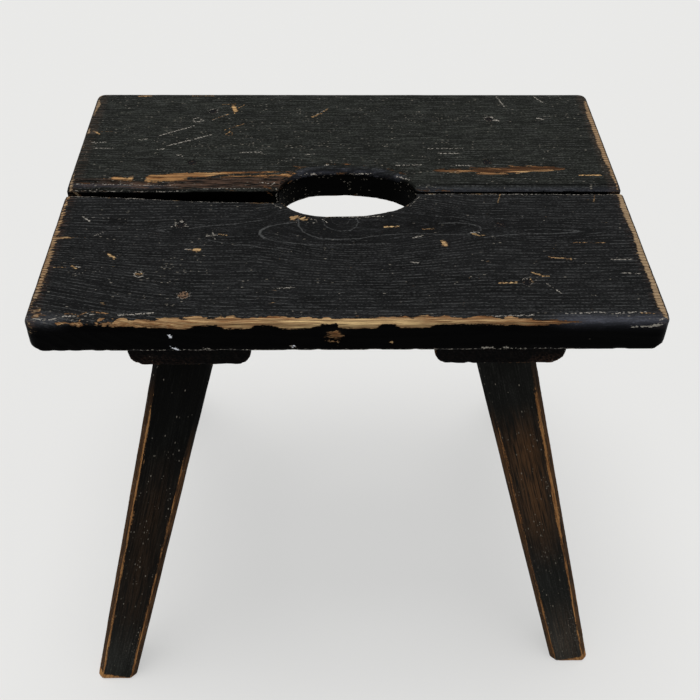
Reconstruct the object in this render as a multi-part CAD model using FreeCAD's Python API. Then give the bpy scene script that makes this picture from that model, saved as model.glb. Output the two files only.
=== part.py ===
import FreeCAD, Part

import math
import os

# A wooden milking stool. Two seat boards lie side by side with a gap between them, and share an oval hand
# hole, whose rear rim fingers have worn to a slope. The boards are nailed to two battens that run front to
# back. Four tapered legs, splayed to the side and raked to the front or back, are shouldered under the
# battens. Each has a round tenon, in line with its leg, that fills a bore through the batten and is spread
# by a wedge driven into its kerf.
#
# Millimetres and degrees. The origin is on the floor under the middle of the seat. +X runs along the
# boards' grain, +Y to the back and +Z up.

# Seat boards
SEAT_HEIGHT = 390.0  # floor to the top of the boards
SEAT_LENGTH = 424.0
BOARD_THICKNESS = 25.5
FRONT_BOARD_WIDTH = 149.0
BACK_BOARD_WIDTH = 147.5
BOARD_GAP = 5.5  # between the boards, to the right of the hand hole
FRONT_BOARD_SHORT_BY = 0.8  # the front board stops this far short of the back one at the left end
SEAT_CORNER_RADIUS = 7.0  # in plan
OUTER_ROUNDING = 3.0  # worn radius of the seat's outer top edges
UNDER_BEVEL = 0.8  # worn off the seat's outer lower edges
GAP_BEVEL = 0.6  # worn off the top edges along the gap

# The front board's rear edge is worn and split away, most of all to the left of the hand hole
WEAR_RIGHT_END = 1.2
WEAR_LEFT_END = 2.9
WEAR_AT_HOLE = 12.0
WEAR_RUN_AT_END = 51.0  # how far the worn edge's curve holds its direction from the left end
WEAR_RUN_AT_HOLE = 80.0  # and from the hand hole

# Hand hole. Its sides are straight in the middle, and each end is half an ellipse, the right one longer
HOLE_WIDTH = 62.0
HOLE_STRAIGHT = 14.0  # length of the straight sides
HOLE_LEFT_REACH = 37.0  # of the left half ellipse
HOLE_RIGHT_REACH = 54.0
HOLE_STRAIGHT_FROM = -14.0  # where the straight sides start, from the seat's middle
HOLE_IN_FRONT_OF_GAP = 1.4  # from the middle of the gap to the middle of the hole
HOLE_BEVEL = 0.8  # worn off the rim, above and below

# The slope worn into the back board's edge behind the hand hole, which narrows towards the hole's ends
SLOPE_REACH = 8.0  # back from the rim
SLOPE_DEPTH = 4.0  # at the rim

# Battens
BATTEN_THICKNESS = 25.0
LEFT_BATTEN_WIDTH = 84.5
RIGHT_BATTEN_WIDTH = 91.0
BATTEN_IN_FROM_SEAT_END = 61.5  # from the end of the seat to the batten's outer edge
BATTEN_SET_BACK = 13.0  # from the seat's front and back faces
BATTEN_ROUNDING = 11.5  # radius of the lower long edges
BATTEN_END_BEVEL = 0.7

# Legs
LEG_TOP_WIDTH = 43.4  # square, under the batten
LEFT_FOOT_WIDTH = 33.0
RIGHT_FOOT_WIDTH = 32.6
LEFT_SPLAY = 14.8  # to the side
RIGHT_SPLAY = 15.2
LEFT_RAKE = 12.4  # to the front or back
RIGHT_RAKE = 10.4
LEFT_LEG_IN = 38.5  # from the batten's outer edge to the leg's middle
RIGHT_LEG_IN = 41.0
LEG_IN_FROM_BATTEN_END = 45.0  # from the batten's end to the leg's middle
LEG_CHAMFER = 4.5
FOOT_BEVEL = 1.5

# Tenons and wedges
TENON_DIAMETER = 26.0
WEDGE_THICKNESS = 5.0  # where it is level with the top of the batten
WEDGE_TIP = 0.8
WEDGE_DEPTH = 20.0  # down the kerf, along the leg

# Wrought nails with round heads and square, tapered shanks, driven a little below the wood
NAIL_WIDTH = 4.0  # of the shank, under the head
NAIL_TIP_WIDTH = 1.0
NAIL_LENGTH = 45.0
NAIL_HEAD_DIAMETER = 7.0
NAIL_HEAD_THICKNESS = 1.5
NAIL_SET = 1.0
LEFT_OUTER_NAIL_IN = 40.5  # from the batten's outer edge
LEFT_INNER_NAIL_IN = 30.0
RIGHT_OUTER_NAIL_IN = 28.0
RIGHT_INNER_NAIL_IN = 37.5
LEFT_OUTER_NAIL_ROW = 29.5  # from the seat's front or back face
RIGHT_OUTER_NAIL_ROW = 42.0
INNER_NAIL_ROW = 109.0

# Worked out from the sizes above
SEAT_END = SEAT_LENGTH / 2
SEAT_SIDE = (FRONT_BOARD_WIDTH + BOARD_GAP + BACK_BOARD_WIDTH) / 2
FRONT_BOARD_EDGE = -SEAT_SIDE + FRONT_BOARD_WIDTH
BACK_BOARD_EDGE = SEAT_SIDE - BACK_BOARD_WIDTH
BOARD_UNDERSIDE = SEAT_HEIGHT - BOARD_THICKNESS
BATTEN_UNDERSIDE = BOARD_UNDERSIDE - BATTEN_THICKNESS
BATTEN_EDGE = SEAT_END - BATTEN_IN_FROM_SEAT_END
BATTEN_END = SEAT_SIDE - BATTEN_SET_BACK
GAP_Y = (FRONT_BOARD_EDGE + BACK_BOARD_EDGE) / 2
HOLE_Y = GAP_Y - HOLE_IN_FRONT_OF_GAP
HOLE_HALF_WIDTH = HOLE_WIDTH / 2
HOLE_STRAIGHT_TO = HOLE_STRAIGHT_FROM + HOLE_STRAIGHT
HOLE_LEFT_END = HOLE_STRAIGHT_FROM - HOLE_LEFT_REACH

TOWARDS_X = {"left": -1, "right": 1}
TOWARDS_Y = {"front": -1, "back": 1}
BATTEN_WIDTH = {"left": LEFT_BATTEN_WIDTH, "right": RIGHT_BATTEN_WIDTH}
LEG_IN = {"left": LEFT_LEG_IN, "right": RIGHT_LEG_IN}
FOOT_WIDTH = {"left": LEFT_FOOT_WIDTH, "right": RIGHT_FOOT_WIDTH}
SPLAY = {"left": math.radians(LEFT_SPLAY), "right": math.radians(RIGHT_SPLAY)}
RAKE = {"left": math.radians(LEFT_RAKE), "right": math.radians(RIGHT_RAKE)}
NAIL_PLACES = {  # in from the batten's outer edge, in from the seat's front or back face
    "left": [
        (LEFT_OUTER_NAIL_IN, LEFT_OUTER_NAIL_ROW),
        (LEFT_INNER_NAIL_IN, INNER_NAIL_ROW),
    ],
    "right": [
        (RIGHT_OUTER_NAIL_IN, RIGHT_OUTER_NAIL_ROW),
        (RIGHT_INNER_NAIL_IN, INNER_NAIL_ROW),
    ],
}


def point(x, y, z=0.0):
    return FreeCAD.Vector(x, y, z)


def near(a, b):
    return abs(a - b) < 1e-4


def start_middle_end(edge):
    first, last = edge.ParameterRange
    return [edge.valueAt(t) for t in (first, (first + last) / 2, last)]


def edges_at(shape, level, test):
    """The edges that lie at one level and whose middle passes a test."""
    found = []
    for edge in shape.Edges:
        spots = start_middle_end(edge)
        if all(near(spot.z, level) for spot in spots) and test(spots[1]):
            found.append(edge)
    return found


def slab(low, high):
    """All of space between two levels, wider than the stool is."""
    reach = 2 * (SEAT_LENGTH + SEAT_HEIGHT)
    return Part.makeBox(2 * reach, 2 * reach, high - low, point(-reach, -reach, low))


def square(width, z):
    """The corners of a level square about the Z axis, in order."""
    half = width / 2
    return [point(x, y, z) for x, y in ((half, -half), (half, half), (-half, half), (-half, -half))]


def chamfered_square(width, chamfer, z):
    """The corners of a level square about the Z axis with its own corners cut off, in order."""
    whole, nearer = square(width, z), square(width - 2 * chamfer, z)
    corners = []
    for far, close in zip(whole, nearer):
        before, after = point(far.x, close.y, z), point(close.x, far.y, z)
        corners += [before, after] if far.x * far.y > 0 else [after, before]
    return corners


def tapered_bar(low, high):
    """A solid with flat sides between two level outlines that have as many corners each."""
    turned_low, turned_high = low[1:] + low[:1], high[1:] + high[:1]
    outlines = [list(side) for side in zip(low, turned_low, turned_high, high)] + [low, high]
    faces = [Part.Face(Part.makePolygon(outline + outline[:1])) for outline in outlines]
    return Part.Solid(Part.Shell(faces))


# Nails


def nail(tip_z, head_top):
    """A nail, point down on the Z axis, between two levels."""
    head_bottom = head_top - NAIL_HEAD_THICKNESS
    shank = tapered_bar(square(NAIL_TIP_WIDTH, tip_z), square(NAIL_WIDTH, head_bottom))
    head = Part.makeCylinder(NAIL_HEAD_DIAMETER / 2, NAIL_HEAD_THICKNESS, point(0, 0, head_bottom))
    return shank.fuse(head)


def nail_spots(end, sides=("left", "right")):
    """Where the nails of the front or back board stand, in plan."""
    spots = []
    for side in sides:
        for from_edge, from_face in NAIL_PLACES[side]:
            x = TOWARDS_X[side] * (BATTEN_EDGE - from_edge)
            y = TOWARDS_Y[end] * (SEAT_SIDE - from_face)
            spots.append(point(x, y))
    return spots


def nails(spots):
    head_top = SEAT_HEIGHT - NAIL_SET
    one = nail(head_top - NAIL_LENGTH, head_top)
    return [one.translated(spot) for spot in spots]


def nail_pits(spots):
    """The room above the nails' heads."""
    bottom = point(0, 0, SEAT_HEIGHT - NAIL_SET)
    pit = Part.makeCylinder(NAIL_HEAD_DIAMETER / 2, 2 * NAIL_SET, bottom)
    return [pit.translated(spot) for spot in spots]


# Seat boards


def half_ellipse(x, reach, z, start):
    """Half of a level ellipse about the hand hole's middle line, anticlockwise from an angle."""
    whole = Part.Ellipse(point(x, HOLE_Y, z), max(reach, HOLE_HALF_WIDTH), min(reach, HOLE_HALF_WIDTH))
    return Part.ArcOfEllipse(whole, start, start + math.pi).toShape()


def hole_outline(z):
    near_y, far_y = HOLE_Y - HOLE_HALF_WIDTH, HOLE_Y + HOLE_HALF_WIDTH
    return Part.Wire(
        [
            Part.makeLine(point(HOLE_STRAIGHT_FROM, near_y, z), point(HOLE_STRAIGHT_TO, near_y, z)),
            half_ellipse(HOLE_STRAIGHT_TO, HOLE_RIGHT_REACH, z, -math.pi / 2),
            Part.makeLine(point(HOLE_STRAIGHT_TO, far_y, z), point(HOLE_STRAIGHT_FROM, far_y, z)),
            half_ellipse(HOLE_STRAIGHT_FROM, HOLE_LEFT_REACH, z, math.pi / 2),
        ]
    )


def hand_hole():
    """The slot that is cut through both boards."""
    below = BOARD_UNDERSIDE - BOARD_THICKNESS
    return Part.Face(hole_outline(below)).extrude(point(0, 0, 3 * BOARD_THICKNESS))


def finger_slope():
    """The hand hole's outline swept back and up from where the worn slope starts on its rear wall."""
    sweep = point(0, SLOPE_REACH, SLOPE_DEPTH)
    lowest = Part.Face(hole_outline(SEAT_HEIGHT - SLOPE_DEPTH)).translated(-sweep)
    return lowest.extrude(sweep * 3)


def on_hole_wall(spot):
    left_part = max(HOLE_STRAIGHT_FROM - spot.x, 0.0) / HOLE_LEFT_REACH
    right_part = max(spot.x - HOLE_STRAIGHT_TO, 0.0) / HOLE_RIGHT_REACH
    return near(math.hypot(left_part, right_part, (spot.y - HOLE_Y) / HOLE_HALF_WIDTH), 1.0)


def along_gap(spot):
    return abs(spot.y - GAP_Y) < BOARD_GAP + WEAR_AT_HOLE and not on_hole_wall(spot)


def on_outside(spot):
    return not along_gap(spot) and not on_hole_wall(spot)


def front_board_plan():
    """The front board's outline, with its worn rear edge."""
    rear = FRONT_BOARD_EDGE
    split = rear - WEAR_AT_HOLE
    left = -SEAT_END + FRONT_BOARD_SHORT_BY
    corners = [
        point(left, rear - WEAR_LEFT_END),
        point(left, -SEAT_SIDE),
        point(SEAT_END, -SEAT_SIDE),
        point(SEAT_END, rear - WEAR_RIGHT_END),
        point(HOLE_STRAIGHT_FROM, rear),
        point(HOLE_STRAIGHT_FROM, split),
        point(HOLE_LEFT_END, split),
    ]
    worn_edge = Part.BezierCurve()
    worn_edge.setPoles(
        [
            corners[-1],
            corners[-1] - point(WEAR_RUN_AT_HOLE, 0),
            corners[0] + point(WEAR_RUN_AT_END, 0),
            corners[0],
        ]
    )
    straight_edges = [Part.makeLine(a, b) for a, b in zip(corners, corners[1:])]
    return Part.Wire(straight_edges + [worn_edge.toShape()])


def back_board_plan():
    corners = [
        point(-SEAT_END, SEAT_SIDE),
        point(-SEAT_END, BACK_BOARD_EDGE),
        point(SEAT_END, BACK_BOARD_EDGE),
        point(SEAT_END, SEAT_SIDE),
    ]
    return Part.makePolygon(corners + corners[:1])


def round_seat_corners(board, end):
    """Rounds the two upright edges where the board's ends meet the seat's front or back face."""
    face = TOWARDS_Y[end] * SEAT_SIDE
    corners = []
    for edge in board.Edges:
        low, middle, high = start_middle_end(edge)
        upright = near(low.x, high.x) and near(low.y, high.y)
        if upright and near(middle.y, face):
            corners.append(edge)
    return board.makeFillet(SEAT_CORNER_RADIUS, corners)


def seat_board(end, plan):
    """The front or back board: its plan made solid, with hand hole, worn edges and holes for its nails."""
    board = Part.Face(plan).extrude(point(0, 0, BOARD_THICKNESS))
    board.translate(point(0, 0, BOARD_UNDERSIDE))
    board = round_seat_corners(board, end).cut(hand_hole())
    board = board.makeFillet(OUTER_ROUNDING, edges_at(board, SEAT_HEIGHT, on_outside))
    for level, bevel, test in (
        (BOARD_UNDERSIDE, UNDER_BEVEL, on_outside),
        (SEAT_HEIGHT, HOLE_BEVEL, on_hole_wall),
        (BOARD_UNDERSIDE, HOLE_BEVEL, on_hole_wall),
        (SEAT_HEIGHT, GAP_BEVEL, along_gap),
    ):
        board = board.makeChamfer(bevel, edges_at(board, level, test))
    spots = nail_spots(end)
    worn_away = [finger_slope()] if end == "back" else []
    return board.cut(nails(spots) + nail_pits(spots) + worn_away)


# Legs


def leg_placement(side, end):
    """Where a leg's middle meets the underside of its batten, with its local Z up along the leg."""
    towards_x, towards_y = TOWARDS_X[side], TOWARDS_Y[end]
    x = towards_x * (BATTEN_EDGE - LEG_IN[side])
    y = towards_y * (BATTEN_END - LEG_IN_FROM_BATTEN_END)
    up = point(-towards_x * math.tan(SPLAY[side]), -towards_y * math.tan(RAKE[side]), 1)
    up.normalize()
    across = point(1, 0, 0) - up * up.x
    turned = FreeCAD.Rotation(across, up.cross(across), up, "ZXY")
    return FreeCAD.Placement(point(x, y, BATTEN_UNDERSIDE), turned)


def along_leg(placement, height):
    """The length along a slanted leg that rises by a height."""
    return height / placement.Rotation.multVec(point(0, 0, 1)).z


def tapered_blank(side, length):
    """The leg before it is cut to length, from well below the floor to well above its shoulder."""
    spare = LEG_TOP_WIDTH
    taper = (LEG_TOP_WIDTH - FOOT_WIDTH[side]) / length
    low, high = [
        chamfered_square(LEG_TOP_WIDTH + taper * z, LEG_CHAMFER, z) for z in (-length - spare, spare)
    ]
    return tapered_bar(low, high)


def tenon_blank(placement):
    """The round tenon, longer than it ends up at both ends."""
    reach = LEG_TOP_WIDTH
    length = along_leg(placement, BATTEN_THICKNESS) + 2 * reach
    tenon = Part.makeCylinder(TENON_DIAMETER / 2, length, point(0, 0, -reach))
    tenon.Placement = placement
    return tenon


def kerf(placement):
    """The tapered cut down the tenon. It runs across the batten's grain, so the wedge can't split it."""
    top = along_leg(placement, BATTEN_THICKNESS)
    taper = (WEDGE_THICKNESS - WEDGE_TIP) / WEDGE_DEPTH
    over = TENON_DIAMETER
    wide = WEDGE_THICKNESS + taper * over
    reach = TENON_DIAMETER
    profile = [
        point(-reach, -WEDGE_TIP / 2, top - WEDGE_DEPTH),
        point(-reach, WEDGE_TIP / 2, top - WEDGE_DEPTH),
        point(-reach, wide / 2, top + over),
        point(-reach, -wide / 2, top + over),
    ]
    cut = Part.Face(Part.makePolygon(profile + profile[:1])).extrude(point(2 * reach, 0, 0))
    cut.Placement = placement
    return cut


def leg(side, end):
    """A leg with its shoulder, its kerfed tenon and a foot cut flat to the floor."""
    placement = leg_placement(side, end)
    blank = tapered_blank(side, along_leg(placement, BATTEN_UNDERSIDE))
    blank.Placement = placement
    body = blank.common(slab(0, BATTEN_UNDERSIDE))
    body = body.makeChamfer(FOOT_BEVEL, edges_at(body, 0, lambda spot: True))
    root = BATTEN_UNDERSIDE - TENON_DIAMETER / 2
    tenon = tenon_blank(placement).common(slab(root, BOARD_UNDERSIDE)).cut(kerf(placement))
    return body.fuse(tenon).removeSplitter()


def wedge(side, end):
    """The wedge that fills the kerf, trimmed to the bore and level with the batten's top."""
    placement = leg_placement(side, end)
    bore = tenon_blank(placement).common(slab(BATTEN_UNDERSIDE, BOARD_UNDERSIDE))
    return kerf(placement).common(bore)


# Battens


def batten(side):
    """A batten with rounded lower edges, a bore for each of its legs and holes for its nails."""
    width = BATTEN_WIDTH[side]
    outer = TOWARDS_X[side] * BATTEN_EDGE
    inner = outer - TOWARDS_X[side] * width
    corner = point(min(outer, inner), -BATTEN_END, BATTEN_UNDERSIDE)
    bar = Part.makeBox(width, 2 * BATTEN_END, BATTEN_THICKNESS, corner)
    bar = bar.makeFillet(
        BATTEN_ROUNDING, edges_at(bar, BATTEN_UNDERSIDE, lambda spot: near(spot.y, 0))
    )
    end_edges = []
    for edge in bar.Edges:
        middle = start_middle_end(edge)[1]
        if near(abs(middle.y), BATTEN_END) and middle.z < BOARD_UNDERSIDE - BATTEN_END_BEVEL:
            end_edges.append(edge)
    bar = bar.makeChamfer(BATTEN_END_BEVEL, end_edges)
    bores = [tenon_blank(leg_placement(side, end)) for end in TOWARDS_Y]
    spots = [spot for end in TOWARDS_Y for spot in nail_spots(end, [side])]
    return bar.cut(bores + nails(spots))


def write(node, shape):
    shape.exportStep(f"parts/{node}.step")


def main():
    os.makedirs("parts", exist_ok=True)
    plans = {"front": front_board_plan(), "back": back_board_plan()}
    for end, plan in plans.items():
        write(f"{end}_seat_board", seat_board(end, plan))
        write(f"{end}_board_nails", Part.makeCompound(nails(nail_spots(end))))
    for side in TOWARDS_X:
        write(f"{side}_batten", batten(side))
        for end in TOWARDS_Y:
            write(f"{end}_{side}_leg", leg(side, end))
            write(f"{end}_{side}_wedge", wedge(side, end))


main()
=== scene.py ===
"""The looks of an old milking stool: two black painted pine boards, worn through along their edges, on
two battens and four splayed legs. Sizes are in millimetres until they reach Blender, which takes metres."""

import itertools
import math

import bmesh
import bpy
import numpy as np
from mathutils import Matrix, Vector
from mathutils.kdtree import KDTree


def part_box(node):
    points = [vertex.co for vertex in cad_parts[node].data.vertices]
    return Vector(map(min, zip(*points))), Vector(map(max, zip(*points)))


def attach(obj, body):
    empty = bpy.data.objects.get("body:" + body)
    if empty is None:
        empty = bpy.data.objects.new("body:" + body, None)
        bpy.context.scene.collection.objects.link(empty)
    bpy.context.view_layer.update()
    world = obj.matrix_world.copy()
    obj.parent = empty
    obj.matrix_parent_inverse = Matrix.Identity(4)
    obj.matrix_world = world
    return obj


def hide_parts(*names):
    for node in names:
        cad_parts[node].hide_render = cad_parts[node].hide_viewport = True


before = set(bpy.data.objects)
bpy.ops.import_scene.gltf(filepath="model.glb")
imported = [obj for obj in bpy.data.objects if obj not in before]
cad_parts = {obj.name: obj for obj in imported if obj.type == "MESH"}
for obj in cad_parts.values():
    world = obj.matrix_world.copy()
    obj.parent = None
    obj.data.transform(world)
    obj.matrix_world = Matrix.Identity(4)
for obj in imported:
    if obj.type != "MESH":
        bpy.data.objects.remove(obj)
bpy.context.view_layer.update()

MM = 0.001

BOARD_CELL = 1.4  # size of the facets of each worn mesh
BATTEN_CELL = 1.6
LEG_CELL = 1.15
SHARP_EDGE = math.radians(25)  # the least turn between two faces whose edge wears

FRONT_RING = 3.4  # between growth rings, across each piece's grain
BACK_RING = 3.1
BATTEN_RING = 4.2
LEG_RING = 3
RING_DEPTH = 0.1  # rings passed for each millimetre down into a board

LEG_CHAMFER = 4.5
EDGE_BAND = 12  # how far from an edge its own wear can reach
OUTSIDE = -9  # stands for how deep inside bare wood a place is that is nowhere near it

LEG_SIDES = {"left": -1, "right": 1}
LEG_ENDS = {"front": -1, "back": 1}

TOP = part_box("back_seat_board")[1].z / MM
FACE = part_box("front_seat_board")[0].y / MM


# -------------------- numbers


def lattice(cell, seed):
    """A repeatable number from 0 to 1 for each whole-numbered point of a lattice."""
    mixed = cell[:, 0] * 374761393 + cell[:, 1] * 668265263 + cell[:, 2] * 974711 + seed * 7127413
    mixed = (mixed & 0x7FFFFFFF) * 1274126177 & 0x7FFFFFFFFFFF
    mixed = (mixed ^ (mixed >> 15)) * 2246822519 & 0x7FFFFFFFFFFF
    return ((mixed >> 13) & 0xFFFF) / 0xFFFF


def noise(points, size, seed=0):
    """Smooth noise from -1 to 1, in lumps of `size`, which is one length or one for each axis."""
    spot = points / (np.ones(3) * size)
    cell = np.floor(spot).astype(np.int64)
    part = spot - cell
    part = part * part * (3 - 2 * part)
    total = np.zeros(len(points))
    for corner in itertools.product((0, 1), repeat=3):
        share = np.prod(np.where(corner, part, 1 - part), axis=1)
        total += share * lattice(cell + corner, seed)
    return 2 * total - 1


def rise(value, start, end):
    """0 up to start, 1 from end on and a smooth step between."""
    part = np.clip((value - start) / (end - start), 0, 1)
    return part * part * (3 - 2 * part)


def along(value, *stops):
    """Straight lines between (place, amount) stops."""
    places, amounts = zip(*stops)
    return np.interp(value, places, amounts)


def bell(value, middle, reach):
    """1 at the middle, falling to nothing on both sides."""
    return np.exp(-(((value - middle) / reach) ** 2))


def mound(points, middle, size):
    """A bell in space. size is its reach along each axis."""
    return np.exp(-(((points - middle) / size) ** 2).sum(axis=1))


# -------------------- meshes


class Worn:
    """A CAD node remade as an even, dense mesh, to be carved and marked by arrays of one entry a vertex."""

    def __init__(self, node, cell):
        self.node = node
        source = bpy.data.objects.new(node + "_source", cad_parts[node].data.copy())
        bpy.context.scene.collection.objects.link(source)
        self.creases = self.crease_points(source.data)
        even = source.modifiers.new("even", "REMESH")
        even.mode = "VOXEL"
        even.voxel_size = cell * MM
        self.mesh = bpy.data.meshes.new_from_object(
            source.evaluated_get(bpy.context.evaluated_depsgraph_get())
        )
        bpy.data.objects.remove(source)
        self.low, self.high = [np.array(corner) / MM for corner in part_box(node)]
        self.points = self.read("co") / MM
        self.normals = self.read("normal")

    @staticmethod
    def crease_points(mesh):
        """Points along the CAD solid's sharp edges, half a millimetre apart."""
        solid = bmesh.new()
        solid.from_mesh(mesh)
        bmesh.ops.remove_doubles(solid, verts=solid.verts, dist=0.00001)
        solid.to_mesh(mesh)
        spots = []
        for edge in solid.edges:
            if edge.is_manifold and edge.calc_face_angle() > SHARP_EDGE:
                start, end = [np.array(v.co) / MM for v in edge.verts]
                steps = max(2, int(np.linalg.norm(end - start) * 2))
                spots.extend(start + (end - start) * part for part in np.linspace(0, 1, steps))
        solid.free()
        return np.array(spots)

    def read(self, name):
        values = np.empty(len(self.mesh.vertices) * 3, np.float32)
        self.mesh.vertices.foreach_get(name, values)
        return values.reshape(-1, 3).astype(float)

    @staticmethod
    def write(target, name, values):
        target.foreach_set(name, values.astype(np.float32).ravel())

    def from_crease(self):
        """How far each point is from the nearest sharp edge."""
        tree = KDTree(len(self.creases))
        for number, spot in enumerate(self.creases):
            tree.insert(spot, number)
        tree.balance()
        return np.array([tree.find(spot)[2] for spot in self.points])

    def press(self, depth):
        """Moves the surface in by a depth at each point."""
        self.points -= self.normals * np.reshape(depth, (-1, 1))

    def shave(self, through, facing, roughness, seed):
        """Cuts off what stands beyond a plane and leaves the cut uneven."""
        facing = np.array(facing, float) / np.linalg.norm(facing)
        beyond = (self.points - through) @ facing + roughness * noise(self.points, 5, seed)
        self.points -= np.maximum(beyond, 0)[:, None] * facing

    def finish(self, name, material, slot, local, **fields):
        """Puts the carved shape in place of the CAD node, with the fields that its material reads, each
        one value or one for each vertex."""
        self.write(self.mesh.vertices, "co", np.clip(self.points, self.low, self.high) * MM)
        self.write(self.mesh.attributes.new("local", "FLOAT_VECTOR", "POINT").data, "vector", local)
        for field, values in fields.items():
            layer = self.mesh.attributes.new(field, "FLOAT", "POINT").data
            self.write(layer, "value", values + np.zeros(len(local)))
        self.mesh.shade_smooth()
        self.mesh.update()
        self.mesh.materials.clear()
        self.mesh.materials.append(material)
        piece = bpy.data.objects.new(name, self.mesh)
        bpy.context.scene.collection.objects.link(piece)
        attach(piece, "root")
        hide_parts(self.node)
        return piece


# -------------------- shader helpers


SPECULAR = "Specular IOR Level"


class Graph:
    """Short calls that add one shader node each and hand back its output."""

    def __init__(self, tree):
        self.tree = tree

    def feed(self, node, inputs):
        """Sets a node's inputs, and links those that are given as sockets."""
        for key, value in inputs.items():
            if isinstance(value, bpy.types.NodeSocket):
                self.tree.links.new(value, node.inputs[key])
            else:
                node.inputs[key].default_value = value

    def add(self, kind, inputs, output=0, **settings):
        node = self.tree.nodes.new(kind)
        for name, value in settings.items():
            setattr(node, name, value)
        self.feed(node, inputs)
        return node.outputs[output]

    def math(self, operation, *values):
        return self.add("ShaderNodeMath", dict(enumerate(values)), operation=operation)

    def times(self, value, factor, added=0):
        """value * factor + added."""
        return self.math("MULTIPLY_ADD", value, factor, added)

    def vector(self, operation, *values, output=0):
        inputs = dict(enumerate(values))
        return self.add("ShaderNodeVectorMath", inputs, output, operation=operation)

    def field(self, name, output="Fac"):
        return self.add("ShaderNodeAttribute", {}, output, attribute_name=name)

    def noise(self, place, size, detail=2, roughness=0.5):
        """Noise from 0 to 1 in lumps of `size`, one length for each axis."""
        spot = self.vector("DIVIDE", place, size)
        inputs = {"Vector": spot, "Scale": 1, "Detail": detail, "Roughness": roughness}
        return self.add("ShaderNodeTexNoise", inputs)

    def rise(self, value, start, end, low=0, high=1):
        inputs = {0: value, 1: start, 2: end, 3: low, 4: high}
        return self.add("ShaderNodeMapRange", inputs, interpolation_type="SMOOTHSTEP")

    def blend(self, share, first, second):
        """A colour between two, each a colour or a socket."""
        inputs = {0: share}
        for key, colour in ((6, first), (7, second)):
            inputs[key] = colour if isinstance(colour, bpy.types.NodeSocket) else (*colour, 1)
        return self.add("ShaderNodeMix", inputs, 2, data_type="RGBA")

    def most(self, values):
        """The greatest of several."""
        total = values[0]
        for value in values[1:]:
            total = self.math("MAXIMUM", total, value)
        return total


def new_material(name):
    """A material, the graph that its nodes are added by, and its shader."""
    material = bpy.data.materials.new(name)
    material.use_nodes = True
    tree = material.node_tree
    return material, Graph(tree), tree.nodes["Principled BSDF"]


def stroke_group():
    """Node group: how far inside a rounded stroke a place lies."""
    tree = bpy.data.node_groups.new("stroke", "ShaderNodeTree")
    for name, kind in (("Place", "Vector"), ("Start", "Vector"), ("Run", "Vector"), ("Width", "Float")):
        tree.interface.new_socket(name, in_out="INPUT", socket_type="NodeSocket" + kind)
    tree.interface.new_socket("Inside", in_out="OUTPUT", socket_type="NodeSocketFloat")
    graph = Graph(tree)
    given = tree.nodes.new("NodeGroupInput").outputs
    offset = graph.vector("SUBTRACT", given["Place"], given["Start"])
    reach = graph.vector("DOT_PRODUCT", offset, given["Run"], output="Value")
    whole = graph.vector("DOT_PRODUCT", given["Run"], given["Run"], output="Value")
    part = graph.add("ShaderNodeClamp", {0: graph.math("DIVIDE", reach, whole)})
    closest = graph.add("ShaderNodeVectorMath", {0: given["Run"], "Scale": part}, operation="SCALE")
    gap = graph.vector("DISTANCE", offset, closest, output="Value")
    inside = graph.math("SUBTRACT", given["Width"], gap)
    tree.links.new(inside, tree.nodes.new("NodeGroupOutput").inputs[0])
    return tree


STROKE = stroke_group()


def strokes(graph, place, marks):
    """How far inside the nearest of several strokes, each (start, end, half width), a place lies."""
    found = []
    for start, end, width in marks:
        given = {0: place, 1: start, 2: np.subtract(end, start), 3: width}
        found.append(graph.add("ShaderNodeGroup", given, node_tree=STROKE))
    return graph.most(found)


# -------------------- materials

GRAIN_STEP = 3.2  # what one growth ring counts for in the grain's own space

GOLDEN = (0.74, 0.52, 0.25)
TAN = (0.37, 0.225, 0.11)
ORANGE = (0.25, 0.105, 0.036)
BROWN = (0.055, 0.026, 0.013)
GRIME = (0.06, 0.036, 0.02)
CRACK = (0.025, 0.013, 0.007)
CHALK = (0.44, 0.405, 0.35)
DUST = (0.3, 0.27, 0.22)
WHITEWASH = (0.8, 0.82, 0.88)
LINE_GREY = (0.092, 0.093, 0.091)
# A painted bluish sheen: light caught by the paint, put into its colour.
SHEEN_BLUE = (0.066, 0.069, 0.084)
DRY_PINE = (0.36, 0.275, 0.175)

SEAT_PINE = (BROWN, ORANGE, TAN, GOLDEN)
SCAR_PINE = (BROWN, (0.21, 0.085, 0.03), (0.4, 0.21, 0.085), (0.66, 0.43, 0.2))
LEG_PINE = (BROWN, (0.2, 0.08, 0.028), (0.4, 0.19, 0.068), (0.6, 0.34, 0.13))


def scattered(graph, place, size, share, reach):
    """1 inside spots at random. A share of the cells of one size have a spot, up to `reach` of a cell."""
    cells = {"Vector": graph.vector("DIVIDE", place, size), "Scale": 1, "Randomness": 1}
    gap = graph.add("ShaderNodeTexVoronoi", cells, "Distance")
    colour = graph.add("ShaderNodeTexVoronoi", cells, "Color")
    pick = graph.add("ShaderNodeSeparateColor", {0: colour})
    chosen = graph.math("SUBTRACT", graph.math("ADD", pick, share), 1)
    radius = graph.rise(chosen, 0, 0.05, 0, reach)
    return graph.rise(graph.math("SUBTRACT", radius, gap), 0, 0.09)


def bare_border(graph, place, grain, grit, marks, arrises):
    """How far inside bare wood a place is. The border breaks up into splinters along the grain."""
    splinters = graph.noise(grain, (9, 1.1, 1.1), 3, 0.6)
    ragged = graph.times(splinters, 4.4, graph.times(grit, 2.6, -3.5))
    found = [graph.math("ADD", graph.field("bare"), ragged)]
    if marks:
        torn = graph.times(grit, 3.2, graph.times(ragged, 0.5, -1.6))
        found.append(graph.math("ADD", strokes(graph, place, marks), torn))
    for name in arrises:
        off = graph.math("ABSOLUTE", graph.field("past_" + name))
        line = graph.math("SUBTRACT", graph.field("wear_" + name), off)
        found.append(graph.math("ADD", ragged, line))
    return graph.most(found)


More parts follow.
